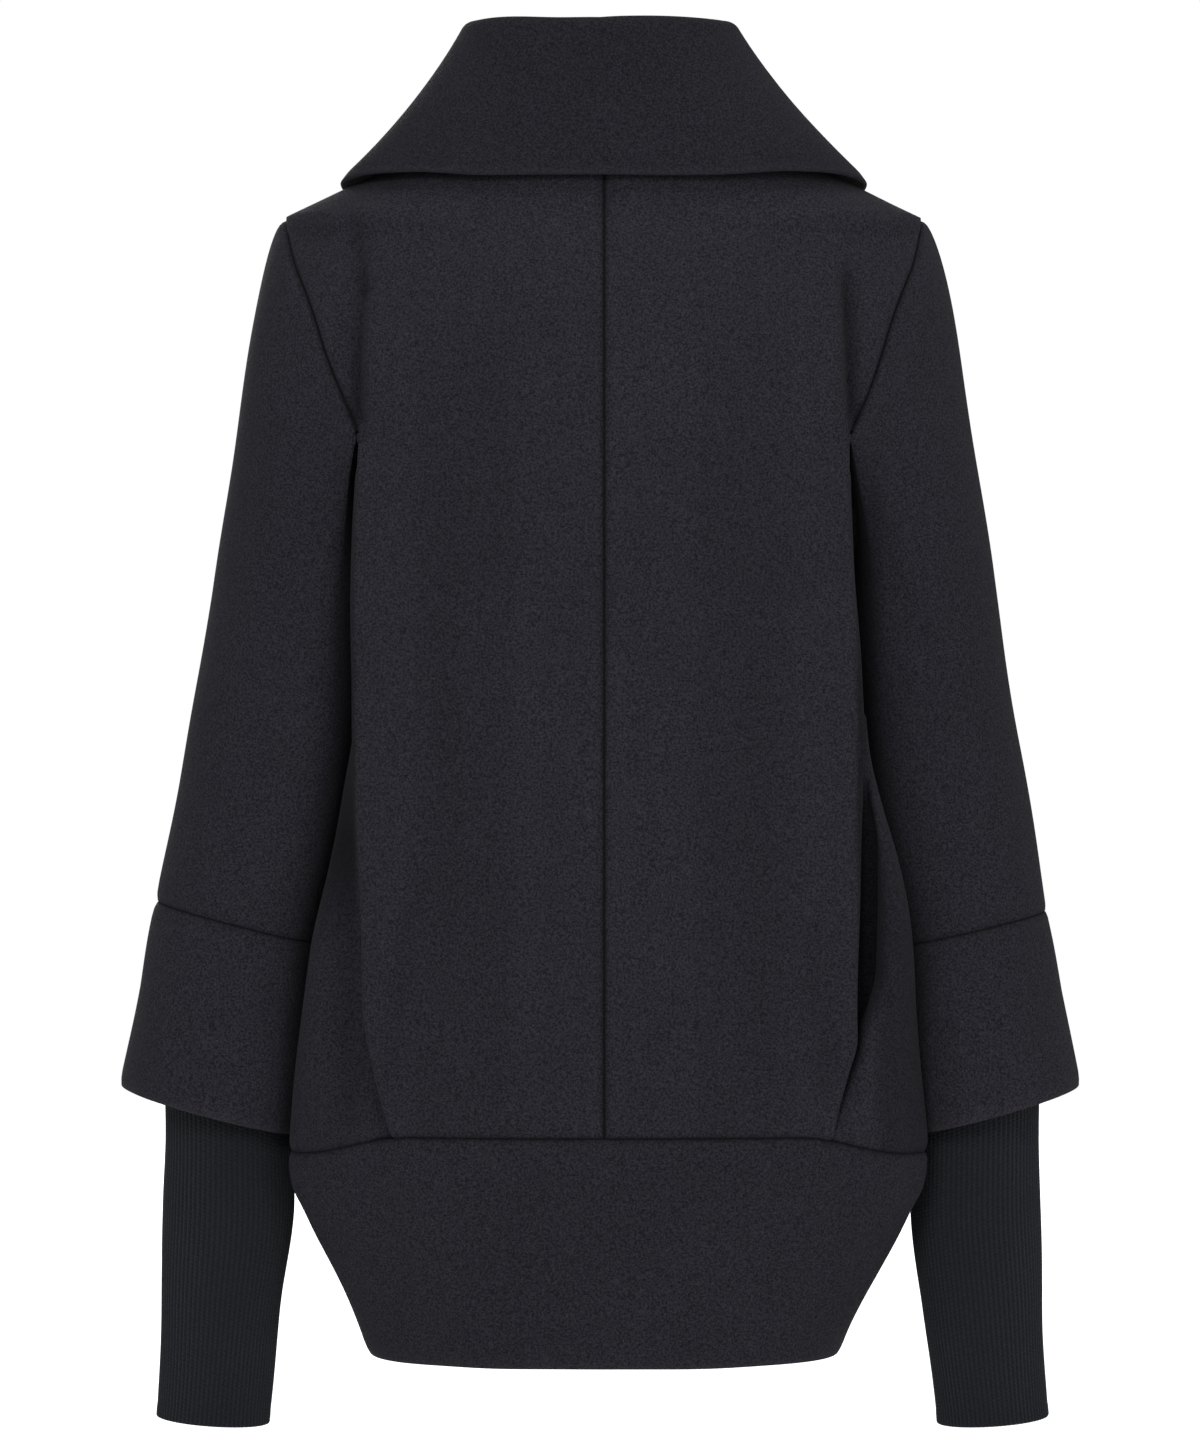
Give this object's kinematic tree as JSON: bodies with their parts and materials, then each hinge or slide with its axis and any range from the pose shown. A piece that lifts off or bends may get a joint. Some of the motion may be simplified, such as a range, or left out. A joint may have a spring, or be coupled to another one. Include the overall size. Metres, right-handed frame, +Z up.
{
  "type": "wool coat",
  "caption": "Black wool cocoon coat, worn-shape and hollow, with a large fold-over collar, pleated back, tapered hem band, flared cuffs and long rib-knit inner cuffs.",
  "frame": {"origin": "centre of the neck opening at back-neck height, where the wearer's shoulders hold the coat", "axes": "+Z up, +Y to the wearer's back, +X to the wearer's left; the front faces -Y"},
  "size_m": [0.6156, 0.256, 0.8954],
  "materials": {
    "wool": "black felted coating wool with a short nap",
    "rib_knit": "black fine rib knit"
  },
  "bodies": {
    "root": {"back_left": "wool", "back_right": "wool", "front_left": "wool", "front_right": "wool", "sleeve_left": "wool", "sleeve_right": "wool", "cuff_left": "wool", "cuff_right": "wool", "rib_left": "rib_knit", "rib_right": "rib_knit", "hem_band": "wool", "collar": "wool"}
  },
  "joints": []
}
